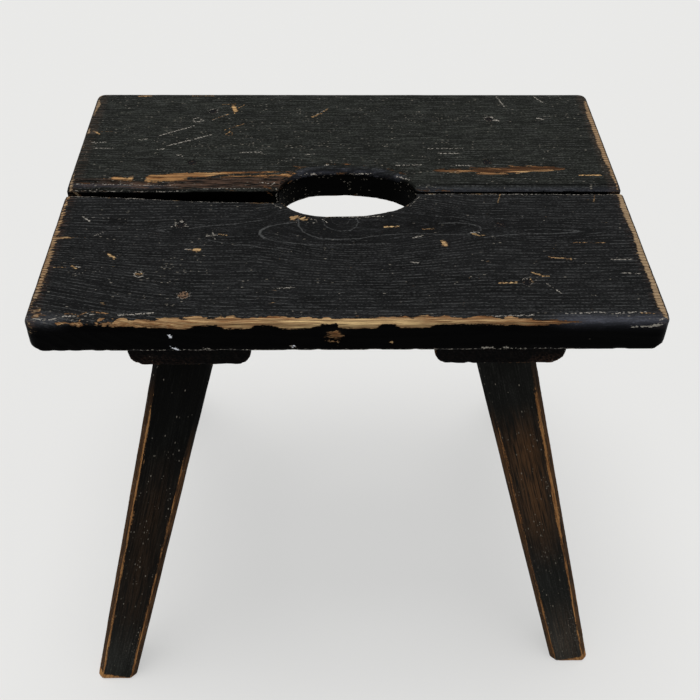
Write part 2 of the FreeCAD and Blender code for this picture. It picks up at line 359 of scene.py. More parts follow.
def pine(graph, grain, ridge, inside, shades):
    """Bare pine in streaks of four shades along the grain, with dark rings, cracks and a dirty edge."""
    streaks = graph.noise(grain, (22, 0.55, 0.55), 3, 0.7)
    tone = graph.times(streaks, 2.6, graph.math("SUBTRACT", graph.field("tone"), 1.3))
    dull = graph.blend(graph.rise(tone, 0, 0.35), shades[0], shades[1])
    warm = graph.blend(graph.rise(tone, 0.25, 0.55), dull, shades[2])
    wood = graph.blend(graph.rise(tone, 0.6, 1), warm, shades[3])
    wood = graph.blend(graph.field("dry"), wood, DRY_PINE)
    rings = graph.times(graph.rise(ridge, 0.45, 0.85), graph.field("teeth"))
    wood = graph.blend(rings, wood, BROWN)
    cracks = graph.rise(graph.noise(grain, (34, 0.7, 0.7), 2, 0.7), 0.57, 0.66)
    wood = graph.blend(graph.times(cracks, 0.8), wood, CRACK)
    return graph.blend(graph.rise(inside, 0, 0.8), GRIME, wood), streaks


def aged_paint(graph, grain, grit, ridge, fibres, deep, faded, rubbed, film, streaky):
    """Paint in lighter and darker patches and flecks, rubbed to a brown film in places, with pale grain and
    a painted bluish sheen.
    """
    cloud = graph.noise(grain, (34, 12, 12), 3, 0.6)
    mottle = graph.times(fibres, 0.55, graph.times(grit, 0.45))
    dusty = graph.times(graph.rise(mottle, 0.47, 0.72), streaky)
    patchy = graph.times(cloud, 0.7, dusty)
    paint = graph.blend(graph.times(graph.field("fade"), patchy), deep, faded)
    # A painted bluish sheen where the paint catches light.
    sheen_share = graph.times(graph.field("cool"), graph.times(patchy, 0.55, 0.25))
    paint = graph.blend(sheen_share, paint, SHEEN_BLUE)
    worn_thin = graph.times(graph.field("thin"), graph.rise(fibres, *film))
    paint = graph.blend(worn_thin, paint, rubbed)
    here = graph.noise(grain, (16, 5, 5), 3, 0.7)
    lines = graph.field("lines")
    whole = graph.times(lines, 0.32, graph.times(grit, 0.9, here))
    broken = graph.rise(whole, 1.06, 1.36)
    raised = graph.times(graph.times(graph.rise(ridge, 0.64, 0.96), broken), lines)
    return graph.blend(raised, paint, LINE_GREY), cloud


def pale_marks(graph, place, grit, light_marks, rings):
    """Dashes and specks at random, and the scratches and pitted rings given."""
    patches = graph.rise(graph.noise(place, (22, 10, 10)), 0.42, 0.66)
    here = graph.times(graph.field("flecks"), patches)
    dashes = scattered(graph, place, (5, 2, 2), graph.times(here, 0.42), 0.25)
    specks = scattered(graph, place, (2.6, 1.9, 1.9), graph.times(here, 0.22), 0.24)
    faint = graph.rise(grit, 0.36, 0.66, 0.1, 1)
    dusty = graph.times(graph.math("MAXIMUM", dashes, specks), faint)
    spots = [strokes(graph, place, light_marks)] if light_marks else []
    for middle, radius in rings:
        gap = graph.vector("DISTANCE", place, middle, output="Value")
        off = graph.math("ABSOLUTE", graph.math("SUBTRACT", gap, radius))
        spots.append(graph.times(off, -0.7, 0.25))
    if not spots:
        return dusty, 0
    chalky = graph.math("ADD", graph.most(spots), graph.times(grit, 5.4, -2.72))
    return dusty, graph.rise(chalky, -0.05, 0.5)


def painted_wood(
    name, deep, faded, bare_marks=(), light_marks=(), rings=(), knot_lines=(), drops=(), arrises=(),
    rubbed=(0.06, 0.032, 0.022), film=(0.44, 0.66), shades=SEAT_PINE, stretch=1, streaky=1.5,
):
    """Old paint over pine. It reads these fields, and one that is left out is 0: local (mm, X along the
    grain), ring (growth rings counted across it), bare (mm inside bare wood), tone (of bare wood, from
    brown at 0 to golden at 1), teeth (how dark its rings are), dry (its greyness), fade (how pale the
    paint is, from fading and dust and from painted light and shade), cool (share of a painted bluish
    sheen), lines (strength of the pale grain), thin (how far the paint is rubbed to a film) and flecks
    (how thick dashes and specks lie). Each named arris adds two: past_ it, in mm across it, and wear_ it,
    half the width of its bare line."""
    material, graph, shader = new_material(name)
    place = graph.field("local", "Vector")
    split = graph.add("ShaderNodeSeparateXYZ", {0: place}).node.outputs
    lengthwise = graph.math("DIVIDE", split[0], stretch)
    follow = graph.times(graph.field("ring"), GRAIN_STEP)
    grain = graph.add("ShaderNodeCombineXYZ", {0: lengthwise, 1: follow, 2: split[2]})
    grit = graph.noise(place, (1.9, 1, 1), 2, 0.6)
    fibres = graph.noise(grain, (13, 1.1, 1.1), 2, 0.7)
    phase = graph.math("SUBTRACT", graph.math("FRACT", graph.field("ring")), 0.5)
    ridge = graph.times(graph.math("ABSOLUTE", phase), -2, 1)

    inside = bare_border(graph, place, grain, grit, bare_marks, arrises)
    bare = graph.rise(inside, -0.12, 0.28)
    wood, streaks = pine(graph, grain, ridge, inside, shades)
    paint, cloud = aged_paint(graph, grain, grit, ridge, fibres, deep, faded, rubbed, film, streaky)
    if knot_lines:
        worn_through = graph.times(grit, 2.6, graph.math("SUBTRACT", fibres, 1.9))
        line = graph.math("ADD", strokes(graph, place, knot_lines), worn_through)
        paint = graph.blend(graph.rise(line, -0.5, 0.9, 0, 0.75), paint, LINE_GREY)
    dusty, chalky = pale_marks(graph, place, grit, light_marks, rings)
    paint = graph.blend(graph.times(dusty, 0.7), paint, DUST)
    paint = graph.blend(graph.times(chalky, 0.75), paint, CHALK)
    if drops:
        splash = graph.times(grit, 4.6, graph.math("ADD", strokes(graph, place, drops), -2.3))
        paint = graph.blend(graph.rise(splash, -0.1, 0.3), paint, WHITEWASH)
    colour = graph.blend(bare, paint, wood)
    gloss = graph.times(cloud, 0.12, graph.times(graph.field("fade"), 0.22, 0.42))
    gloss = graph.math("MAXIMUM", gloss, graph.times(bare, 0.62))

    # Relief, in millimetres: raised rings, fibres, and the step down from the paint to the wood.
    relief = graph.times(graph.rise(ridge, 0.35, 1), 0.11)
    relief = graph.times(streaks, graph.times(bare, 0.3), relief)
    for layer, height in ((fibres, 0.1), (bare, -0.25), (grit, 0.06)):
        relief = graph.times(layer, height, relief)
    normal = graph.add("ShaderNodeBump", {"Height": relief, "Distance": MM, "Strength": 0.8})

    graph.feed(shader, {"Base Color": colour, "Roughness": gloss, "Normal": normal, SPECULAR: 0.015})
    return material


# -------------------- seat boards


def unevenness(worn, seed):
    """Plane marks, hollows and small knocks all over."""
    slow = 0.2 * noise(worn.points, (60, 18, 18), seed)
    quick = 0.1 * noise(worn.points, (12, 4, 4), seed + 1) + 0.05 * noise(worn.points, 2.6, seed + 2)
    return 0.1 + slow + quick


def eye(x, y, middle, left, right, half, loops, spacing):
    """How far growth rings move across the board to part round a pointed eye of a few nested loops."""
    sideways = (x - middle[0]) / np.where(x < middle[0], left, right)
    bulge = (1 - np.minimum(np.abs(sideways), 1) ** 2) ** 1.2
    offset = y - middle[1]
    gap = np.abs(offset)
    outside = gap - half * bulge
    parted = -np.sign(offset) * half * bulge * np.exp(-np.maximum(outside, 0) / (1.6 * half))
    nested = spacing * loops * (bulge - gap / half) - offset
    return np.where(outside > 0, parted, nested)


def front_rings(points):
    """Rings of the front board: they part round a knot that the hand hole has mostly taken away."""
    x, y, z = points.T
    flat = points * (1, 1, 0)
    moved = y.copy()
    for middle, left, right, half, loops in (
        ((6, -43), 70, 92, 22, 3.6),
        ((142, -52), 40, 48, 5.5, 1.3),
        ((-120, -50), 26, 22, 4.5, 1),
    ):
        moved += eye(x, y, middle, left, right, half, loops, FRONT_RING)
    rings = moved / FRONT_RING + RING_DEPTH * (z - TOP)
    rings += 0.9 * noise(flat, (150, 60, 1), 3) + 0.22 * noise(flat, (40, 14, 1), 4)
    return rings - 7 * bell(x, -235, 82) * rise(-y, 45, 110)


def back_rings(points):
    flat = points * (1, 1, 0)
    rings = points[:, 1] / BACK_RING + RING_DEPTH * (points[:, 2] - TOP)
    return rings + 0.9 * noise(flat, (210, 50, 1), 13) + 0.25 * noise(flat, (50, 14, 1), 14)


class Board(Worn):
    """A seat board, and where each vertex lies on it before it is carved."""

    def __init__(self, node, rings):
        super().__init__(node, BOARD_CELL)
        self.place = self.points.copy()
        self.x, self.y = self.place[:, 0], self.place[:, 1]
        self.below = self.high[2] - self.place[:, 2]
        self.top = rise(-self.below, -3, -1)
        self.at_end = rise(np.abs(self.x), 200, 205)
        self.crease = self.from_crease()
        self.ring = rings(self.place)

    def end_wear(self, seed, left, right):
        """mm inside the bare end grain along both ends' top edges, with teeth between the rings. left and
        right are how far in it reaches."""
        sparse = noise(self.place * (0, 1, 0), (1, 6, 1), seed + 1)
        ripple = noise(self.place * (0, 1, 0), (1, 11, 1), seed)
        teeth = np.sin(2 * np.pi * self.ring) * (0.7 + 0.5 * sparse)
        flaked = 1.8 * noise(self.place, (4, 3, 4), seed + 3)
        from_left, from_right = self.x - self.low[0], self.high[0] - self.x
        strips = []
        for inward, reach, tooth in ((from_left, left + flaked, 1.3), (from_right, right, 0.5)):
            across = inward - self.below
            near = np.maximum(inward, self.below) < EDGE_BAND
            inner = reach + 0.7 * ripple + tooth * teeth
            strips.append(np.where(near, np.minimum(inner - across, 1.2 * (across - 1.3)), OUTSIDE))
        return np.maximum(*strips)


def front_strip(x, across):
    """mm inside the bare strip along the front edge, where tongues of paint still stand from below."""
    upper = along(
        x, (-196, -3), (-180, 0.4), (-160, 2.4), (-140, 4), (-120, 5.2), (-64, 5.6), (60, 5.4), (108, 4.6),
        (122, 2.6), (150, 0.4), (166, -0.6), (176, -3)
    )
    lower = along(
        x, (-196, -3), (-180, -0.2), (-165, 1.6), (-140, 3.6), (-130, 5), (-106, 5.6), (-100, 3),
        (-86, 2.4), (-81, 5.6), (-64, 5.6), (-60, 2.4), (-50, 2.6), (-45, 5.7), (-27, 5.6), (-16, 2),
        (-8, 0.2), (-6, 5.4), (18, 5.6), (22, 2), (30, 1.8), (34, 5.4), (52, 5.2), (58, 2.2), (88, 2.4),
        (115, 4), (130, 3), (148, 1.4), (165, 0.6), (176, -3)
    )
    return np.minimum(upper - across, across + lower)


def front_bare(board, from_front, across, at_front, knock):
    """mm inside bare wood: the front strip, the ends, the hand hole's rim, the gap's edge and the knock."""
    place, x, y = board.place, board.x, board.y
    flakes = noise(place, (7, 3, 3), 24) + 0.7 * noise(place, (2.6, 2, 2), 25)
    strip = np.where(at_front, front_strip(x, across), OUTSIDE)
    # The strip's border is flaky, and to the left it is nothing but flakes.
    strip += (2.3 * rise(across, 1.2, 3.6) + 3.4 * rise(-x, 120, 146)) * (flakes - 0.1) * at_front
    corner = mound(place, (-204, -142, 389), (7, 7, 4)) + 0.8 * mound(place, (-207, -150, 384), (5, 4, 7))
    left = along(
        y, (-150, -3), (-143, 1.6), (-136, 2.6), (-126, 4.2), (-112, 5.6), (-92, 6), (-74, 4.4), (-60, 6.2),
        (-40, 4.2), (-22, 3.8), (0, 5.2)
    )
    right = along(
        y, (-150, -2), (-147, 5.5), (-140, 6.4), (-125, 6), (-90, 6.4), (-50, 5.6), (-20, 6.2), (0, 5.4)
    )
    spur = 2 * (1 - (x + 210) / 20) - np.abs(y + 58)
    face = rise(-from_front, -2.5, -1)
    rim = -0.1 + 0.9 * noise(place, (11, 5, 5), 22) - 1.1 * face
    chipped = mound(place, (-35, -35, TOP), (8, 3.6, 3)) * (1 + 1.3 * noise(place, (1.8, 1.3, 2), 28))
    worn_rim = 3.4 * mound(place, (4, -31.6, TOP), (28, 2, 1.5)) + 0.6 * noise(place, (6, 3, 3), 29)
    return np.max([
        strip,
        2.6 * corner + 1.4 * flakes - 2.4,
        board.end_wear(21, left, right),
        np.where(board.below < 2, spur, OUTSIDE),
        np.where(from_front > 60, rim - board.crease, OUTSIDE),
        4.6 * chipped - 2.4,
        worn_rim - 3,
        3 * knock - 1.5,
    ], axis=0)


def front_tone(board, across, at_front, knock, weathered):
    """Tone of the bare wood: golden in the middle of the strip, browner at its ends and in the knock."""
    x = board.x
    tone = np.where(at_front, 0.54, 0.7) + 0.36 * mound(board.place, (8, -150, 388), (50, 30, 3.5))
    tone -= 0.34 * rise(x, 108, 128) * at_front
    tone += 0.16 * rise(x, 140, 150) * at_front - 0.1 * rise(-x, 130, 160) * at_front
    tone -= 0.26 * rise(across, 2.6, 4.2) * at_front * rise(-x, -110, -90) * rise(x, -90, -60)
    tone += 0.1 * noise(board.place, (26, 9, 9), 27) * at_front
    tone = np.where(x > 170, 0.64, tone)
    return np.where(board.at_end > 0.5, 0.46 - 0.3 * weathered, tone) - 0.42 * knock


def front_board():
    board = Board("front_seat_board", front_rings)
    place, x, crease, top, at_end = board.place, board.x, board.crease, board.top, board.at_end
    from_front = board.y - board.low[1]
    across = from_front - board.below  # over the front edge: positive on top, negative down the face
    at_front = np.maximum(from_front, board.below) < EDGE_BAND
    knock = mound(place, (-9, -151, 378), (6, 6, 4))
    weathered = rise(-board.y, 104, 126) * (x < 0)

    # Near the right end of the front edge and at the left corner the paint takes a painted bluish sheen; at
    # the left corner it is also paler and more flecked.
    left_corner = rise(-x, 176, 200) * bell(across, 3, 5.5) * at_front
    right_edge = rise(x, 125, 150) * bell(across, 1.5, 5) * at_front
    near_knot = mound(place, (8, -46, TOP), (88, 16, 20))
    # The paint is paler on the top, more so near its front edge, than down the front face. The top's
    # paleness is partly dust and fading and partly a painted sheen, and the near-black face is partly
    # painted shade.
    fade = 0.54 * top + 0.2 * rise(across, -2, 2) * at_front + 1.5 * left_corner - 0.1 * near_knot
    crowd = 1.6 * mound(place, (-23, -37, TOP), (13, 5, 5))
    crowd += 0.5 * mound(place, (-120, -100, TOP), (50, 30, 5))
    near_edge = rise(-across, -10, -4) * rise(across, -1, 1) * at_front
    flecks = (0.45 + 2.5 * crowd + 0.8 * rise(-crease, -4, -1)) * top
    flecks += 0.1 + near_edge * (0.9 + 1.2 * rise(-x, 90, 130)) + 2.6 * left_corner

    board.press(unevenness(board, 31) * 0.8)
    board.press(2 * knock)
    board.press(0.8 * np.clip(noise(place, (9, 5, 5), 35), 0, 1) * (np.abs(across) < 6) * at_front)
    board.press(0.5 * np.clip(noise(place, (5, 6, 5), 36), 0, 1) * (crease < 3))
    # The lower corners of both front ends are knocked off.
    for side in (-1, 1):
        board.shave((side * 207.5, -147, 366.5), (side, -0.6, -1.3), roughness=0.8, seed=37)
    return board.finish(
        "front_seat_board_worn", FRONT_PAINT, "seat_boards", place, ring=board.ring,
        bare=front_bare(board, from_front, across, at_front, knock),
        tone=front_tone(board, across, at_front, knock, weathered),
        teeth=0.45 + np.where(x < 0, 0.4, -0.05) * at_end,
        dry=(np.where(x > 0, 0.62, 0.36) + 0.3 * weathered) * at_end,
        fade=np.clip(fade, 0, 1.6), cool=1.4 * right_edge + 0.55 * left_corner,
        lines=0.66 * (1 - 0.9 * near_knot) * top,
        thin=np.where(x > 0, 0.3, 0.6) * at_end * (1 - rise(board.below, 3, 8)), flecks=flecks,
    )


def scar_borders(x):
    """The far and the near border of the scars that torn splinters left along the back board."""
    far = along(
        x, (-183, 18), (-178, 20.6), (-165, 21.6), (-155, 22.6), (-119, 26.2), (-93, 27), (-60, 28.3),
        (-37, 27.6), (-30, 22), (64, 26), (72, 30), (98, 34), (138, 35.5), (160, 36.5), (170, 33.5),
        (180, 31)
    )
    near = along(
        x, (-183, 18), (-178, 16.6), (-164, 16), (-150, 14.4), (-138, 14.6), (-119, 18.2), (-93, 20.4),
        (-60, 20.4), (-37, 21.6), (-30, 22.6), (64, 30), (72, 26), (98, 24.4), (113, 22), (137, 23.5),
        (159, 27), (170, 29.5), (180, 33)
    )
    return far, near


def inside_scar(place, far, near, wander):
    """mm inside a scar, less the layers and fibres that still stand in it."""
    x, y = place[:, 0], place[:, 1]
    within = np.minimum(far + wander - y, y - near - 0.6 * wander)
    layers = np.abs(y - along(x, (-122, 19), (-93, 22.6), (-37, 26.2)) - 0.8 * wander)
    within = np.where((x > -122) & (x < -37), np.minimum(within, 1.6 * layers - 1), within)
    standing = rise(noise(place, (20, 1.7, 3), 47) + 0.6 * noise(place, (5, 1.5, 3), 48), -0.1, 0.5)
    return within - along(x, (-90, 1.7), (-75, 0.6), (40, 0.6), (55, 3)) * standing


def back_bare(board, within):
    """mm inside bare wood: the scars but for a chip of paint on one, the ends and the edges near them."""
    place, x, y = board.place, board.x, board.y
    lean = x - 0.3 * (y - 18) + 1.5 * noise(place, (3, 2, 2), 45)
    chip = np.minimum(lean + 163.5, -154 - lean)
    scar = np.where(board.below < 2, np.minimum(within * 0.8, -0.8 * chip), OUTSIDE)
    left = along(
        y, (0, 4), (16, 4), (26, 2.2), (40, 1.4), (78, 1.8), (88, 4.2), (97, 2), (115, 2.6), (130, 4.4),
        (150, 3.6)
    )
    right = along(y, (0, 2.5), (20, 5.2), (60, 6), (110, 6.4), (132, 4.4), (150, 1.2))
    rim = -0.1 + 0.9 * noise(place, (9, 5, 5), 43) - board.crease
    return np.max([
        scar, board.end_wear(42, left, right) - 0.2, np.where((y < 60) | (y > 140), rim, OUTSIDE)
    ], axis=0)


def back_tone(board, near, strands, right_strands):
    """Tone of the bare wood: the left scar golden with a browner near border, the right one brown but for
    a few golden strands."""
    x, y = board.x, board.y
    tone = along(
        x, (-190, 0.56), (-170, 0.66), (-150, 0.7), (-112, 0.56), (-80, 0.46), (-40, 0.36), (60, -0.25),
        (170, -0.25), (178, 0.9)
    )
    tone -= np.where(x < -30, 0.3 * (1 - strands) + 0.4 * rise(near - y, -1.8, -0.2) - 0.1, 0)
    tone += 0.95 * right_strands
    tone = np.where(y > 50, 0.85, tone)
    return np.where(board.at_end > 0.5, np.where(x > 0, 0.4, 0.26), tone)


def back_board():
    board = Board("back_seat_board", back_rings)
    place, x, y, below = board.place, board.x, board.y, board.below
    crease, top, at_end = board.crease, board.top, board.at_end
    wander = 0.8 * noise(place * (1, 0, 0), (13, 1, 1), 41)
    far, near = scar_borders(x)
    within = inside_scar(place, far, near, wander)
    strands = rise(noise(place, (38, 1.6, 3), 53), -0.15, 0.3)
    right_strands = strands * rise(x, 66, 84) * rise(-x, -175, -164)

    # Left of the hand hole the wood is lower from the scar to the gap, and lowest in a step at its left.
    left_part = rise(-x, 28, 40)
    right_bevel = rise(x, 52, 58) * rise(8.8 - y, 0, 5.5)
    sunk = along(x, (-205, 0), (-186, 0.5), (-150, 1.4), (-60, 1.1), (-30, 0.7)) * left_part
    sunk *= rise(far - y, 0, 8)
    sunk += 1.6 * rise(-x, 112, 140) * rise(6.6 + 0.4 * wander - y, 0, 0.8)
    sunk += 0.9 * rise(within, 0, 2.5) * rise(x, 55, 70)
    sunk = (sunk + 1.9 * right_bevel) * top

    ledge = left_part * rise(near - y, -1, 1) * rise(y, 6, 8) * top
    # The paint is darker on the ledge, in a painted shadow line along the top of the right bevel, and with
    # painted shade on the deepest step and bevel. As on the front board, its paleness on the top is partly
    # a painted sheen.
    shadow_line = bell(y, 9.2, 0.9) * rise(x, 55, 65)
    fade = 0.53 * top - 0.45 * ledge - 0.5 * shadow_line - 0.3 * (sunk > 1.8)
    # A painted bluish sheen, standing in for light caught by these faces, lies on the slope behind the hand
    # hole, on the bevel and on the left step.
    slope = rise(below, 0.3, 1.2) * rise(y, 18, 24) * (np.abs(x) < 60) * (below < 4.6)
    streak = rise(noise(place, (16, 2.4, 2.4), 44) + 0.5 * noise(place, (5, 1.6, 1.6), 46), -0.5, 0.7)
    slope_sheen = slope * (0.15 + (0.55 + 0.4 * rise(x, -12, 2) * rise(-x, -45, -30)) * streak)
    left_step = rise(-x, 125, 150) * rise(y, 6.4, 7.4) * rise(-y, -12, -10) * top
    cool = slope_sheen + 0.7 * right_bevel * top + 0.7 * left_step
    thin = 1.15 * ledge * along(x, (-190, 0.3), (-150, 1), (-50, 0.8))
    thin = np.maximum(thin, 0.35 * at_end * (1 - rise(below, 3, 8)))
    dusty = mound(place, (85, 109, TOP), (30, 16, 5)) + 0.5 * mound(place, (-90, 90, TOP), (60, 30, 5))
    dusty += 0.9 * mound(place, (-70, 70, TOP), (50, 26, 5))
    flecks = (1.05 + 1.8 * dusty + 0.9 * rise(-crease, -4, -1) + 0.9 * rise(within, -6, -1)) * top + 0.22
    flecks += 1.6 * (np.abs(x) < 58) * (y < 34) * rise(below, 2, 4)

    board.points[:, 2] -= sunk
    board.press(unevenness(board, 51) * 0.7)
    board.press(0.5 * np.clip(noise(place, (5, 6, 5), 56), 0, 1) * (crease < 3))
    return board.finish(
        "back_seat_board_worn", BACK_PAINT, "seat_boards", place, ring=board.ring,
        bare=back_bare(board, within), tone=back_tone(board, near, strands, right_strands), teeth=0.6,
        dry=np.where(at_end > 0.5, np.where(x > 0, 0.55, 0.75), 0.15 * right_strands),
        fade=np.clip(fade, 0, 1), cool=cool, lines=0.55 * top * (1 - slope), thin=thin, flecks=flecks,
    )


# -------------------- battens and legs


def batten(side):
    worn = Worn(side + "_batten", BATTEN_CELL)
    x, y, z = worn.points.T
    local = np.stack([y, x, z], axis=1)
    ring = x / BATTEN_RING + 0.16 * (z - worn.low[2]) + 0.6 * noise(local, (160, 24, 24), 61)
    end = np.maximum(worn.low[1] - y, y - worn.high[1])
    corner = rise(end, -5, -1) * rise(worn.low[2] + 12 - z, 0, 8)
    outer = LEG_SIDES[side] * (x - (worn.low[0] + worn.high[0]) / 2)
    rough = corner * rise(outer, 15, 34) if side == "right" else 0.5 * corner * rise(outer, -20, 40)
    bare = 0.2 - worn.from_crease() + 0.5 * noise(worn.points, 8, 62)
    worn.press(unevenness(worn, 63) * 0.4)
    worn.press(0.8 * np.clip(noise(worn.points, 4, 64), 0, 1) * corner)
    return worn.finish(
        side + "_batten_worn", BATTEN_PAINT, "battens", local, ring=ring, bare=bare, tone=0.15,
        teeth=0, fade=0.12, cool=0, lines=0.1, thin=0.05 + 0.7 * rough, flecks=0.1 + 0.6 * corner,
    )


def leg_frame(node):
    """Where a leg's middle leaves its batten, its length, and the ways along, across and through it."""
    rim = np.array([v.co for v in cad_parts[node].data.vertices]) / MM
    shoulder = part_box(node.split("_")[1] + "_batten")[0].z / MM
    ends = []
    for height in (shoulder, 0):
        ring = rim[np.abs(rim[:, 2] - height) < 0.05]
        ends.append((ring.min(axis=0) + ring.max(axis=0)) / 2)
    down = ends[1] - ends[0]
    length = np.linalg.norm(down)
    down /= length
    across = np.array([1, 0, 0]) - down * down[0]
    across /= np.linalg.norm(across)
    return ends[0], length, np.stack([down, across, np.cross(down, across)])


def leg_section(local, length):
    """Half the leg's width, and how far round its section each point is past the edge of the front or back
    face, and past the edge of the side that follows the chamfer."""
    far, across, through = local.T
    body = (far > 2) & (far < length - 4)
    half_top = np.abs(across[body & (far < 20)]).max()
    half_foot = np.abs(across[body & (far > length - 30)]).max()
    half = half_top + (half_foot - half_top) * far / length
    flat = half - LEG_CHAMFER
    bevel = math.sqrt(2) * LEG_CHAMFER
    wide, deep = np.abs(across), np.abs(through)
    # Round a chamfer the way is 1.41 times as long as straight across.
    girth = wide + 0.41 * np.clip(wide - flat, 0, LEG_CHAMFER)
    girth = np.where(deep < flat, flat + bevel + flat - deep, girth)
    return half, girth - flat, girth - flat - bevel


def arris_wear(side, far, foot, outward, wander, slow):
    """How worn a leg's arrises are, and half the widths of their bare lines, by the face and by the side.
    The outward ones are worn from nearly the top, the inward ones further down."""
    if side == "right":
        start = np.where(outward, 14, 50)
        widest = np.where(outward, 1.7 - 0.9 * rise(far, 200, 290), 0.8)
    else:
        start = np.where(outward, 30, 70)
        widest = np.where(outward, 1.15, 0.8 + 0.5 * rise(-foot, -120, -60))
    worn_in = rise(far, start, start + 60)
    by_face = worn_in * (widest + 0.25 * wander + 0.25 * slow) - 1.5 * (1 - worn_in)
    by_side = worn_in * (0.45 + 0.3 * wander) - 1.5 * (1 - worn_in) - 0.2 * ~outward
    return worn_in, by_face, by_side


def rubbed_middle(side, far, foot, across):
    """How far the paint down the middle of a leg is rubbed to a film."""
    if side == "right":
        middle = rise(far, 55, 115) * rise(-far, -250, -150) + 0.3 * rise(-foot, -90, -40)
        return 0.85 * middle * bell(across, 0, 14)
    middle = rise(far, 90, 170) * rise(-far, -345, -250)
    return 0.2 * middle * bell(across, 0, 12)


def leg(end, side):
    node = f"{end}_{side}_leg"
    worn = Worn(node, LEG_CELL)
    top, length, axes = leg_frame(node)
    local = (worn.points - top) @ axes.T
    far, across, through = local.T
    foot = length - far
    outward = across * LEG_SIDES[side] > 0
    half, past_face, past_side = leg_section(local, length)
    seed = 70 + 10 * LEG_SIDES[side] + 3 * LEG_ENDS[end]
    wander = noise(local, (26, 300, 300), seed)
    slow = noise(local, (70, 300, 300), seed + 7)
    worn_in, wear_face, wear_side = arris_wear(side, far, foot, outward, wander, slow)

    on_chamfer = rise(past_face, -0.5, 0.5) * rise(-past_side, -0.5, 0.5)
    bare = np.where(on_chamfer > 0.5, -0.65 - 2.3 * (1 - worn_in), -3)
    tip = 3.4 + 1.8 * noise(local, (40, 4, 4), seed + 1) - foot
    tip = np.maximum(tip - 0.25 * np.minimum(half - np.abs(across), 12), 1 - foot)
    tone = 0.38 + 0.1 * wander + 0.05 * rise(-foot, -12, -2) + 0.16 * outward
    thin = (0.7 + 0.3 * (slow > -0.2)) * on_chamfer * worn_in
    # The right legs are lighter than the left ones.
    lighter = 1 if side == "right" else 0
    # The paint is darkest at the top and paler down towards the foot: partly dirt, and partly painted shade
    # under the batten and seat.
    fade = 0.08 + 0.22 * lighter + 0.15 * rise(far, 30, 140)
    fade += (0.45 + 0.3 * lighter) * rise(-foot, -90, -25)
    flecks = 0.6 + (0.8 + 1.2 * lighter) * rise(-foot, -110, -20)
    flecks += (0.9 + 0.1 * lighter) * rise(far, 60, 120) * rise(-far, -300, -240)

    outer = -LEG_ENDS[end] * through  # positive on the face that looks out of the stool
    ring = across / LEG_RING + 0.22 * outer + 0.5 * noise(local, (140, 20, 20), seed + 2)
    worn.press(0.16 + 0.16 * noise(local, (50, 14, 14), seed + 3))
    worn.press(0.08 * noise(local, (14, 3, 3), seed + 4))
    edge = np.minimum(np.abs(past_face), np.abs(past_side))
    worn.press(0.35 * np.clip(noise(local, (11, 4, 4), seed + 5) + 0.2, 0, 1) * (edge < 2.2) * (far > 10))
    worn.press(0.5 * np.clip(noise(local, (5, 4, 4), seed + 6), 0, 1) * (foot < 3) * (foot > 0.5))
    return worn.finish(
        node + "_worn", LEG_PAINT, "legs", local, ring=ring, bare=np.maximum(bare, tip), tone=tone,
        teeth=0.2, fade=fade, cool=0, lines=0.04,
        thin=np.maximum(rubbed_middle(side, far, foot, across), thin), flecks=flecks,
        past_face=past_face, past_side=past_side, wear_face=wear_face, wear_side=wear_side,
    )


# -------------------- small parts and finishes


def top_strokes(*marks):
    """Strokes on the seat's top: (x, y, x, y, half width)."""
    return [((x, y, TOP), (u, v, TOP), width) for x, y, u, v, width in marks]


def face_strokes(*marks):
    """Strokes on the seat's front face: (x, z, x, z, half width)."""
    return [((x, FACE, z), (u, FACE, v), width) for x, z, u, v, width in marks]


def top_rings(*marks):
    """Rings on the seat's top: (x, y, radius)."""
    return [((x, y, TOP), radius) for x, y, radius in marks]


def top_paths(*paths):
    """Bent lines on the seat's top, each a half width and the (x, y) places it passes, as strokes."""
    return top_strokes(*[(*a, *b, width) for width, *places in paths for a, b in zip(places, places[1:])])


# Growth rings seen round the knot in front of the hand hole, whose heart the hole has taken away.
KNOT_LINES = top_paths(
    (0.2, (-11, -35), (-10, -40), (-7, -43), (-3, -43.5), (1, -41.5), (3, -36)),
    (0.5, (-17, -37), (-15.5, -44), (-11, -48.5), (-4.5, -51), (3, -50), (7, -46), (9, -40), (7, -34)),
    (0.6, (-35, -35), (-34.5, -44), (-31, -52), (-25, -57), (-18, -60), (-9, -61), (9, -60), (18, -57.5)),
    (0.5, (18, -57.5), (29, -55.5), (42, -54.5), (55, -54), (68, -55.5), (80, -55.5), (90, -54)),
    (0.6, (90, -54), (98, -50), (97, -45.5), (90, -42.5), (81, -41), (68, -42)),
    (0.6, (-38, -40), (-48, -42), (-56, -45)),
    (1.1, (-57, -45.5), (-62, -50), (-62.5, -54.5), (-59, -59)),
    (0.4, (-59, -59), (-50, -63), (-40, -65), (-28, -67), (-10, -67.5), (7, -67), (31, -66)),
    (0.5, (-113, -47.5), (-103, -45), (-89, -43), (-77, -41), (-62, -37)),
    (0.4, (-100, -61), (-87, -65), (-72, -67), (-58, -71), (-45, -72)),
    (0.5, (99, -59), (109, -57), (125, -55), (160, -54)),
    (0.2, (63, -33), (81, -34), (100, -34.5), (128, -38)),
)

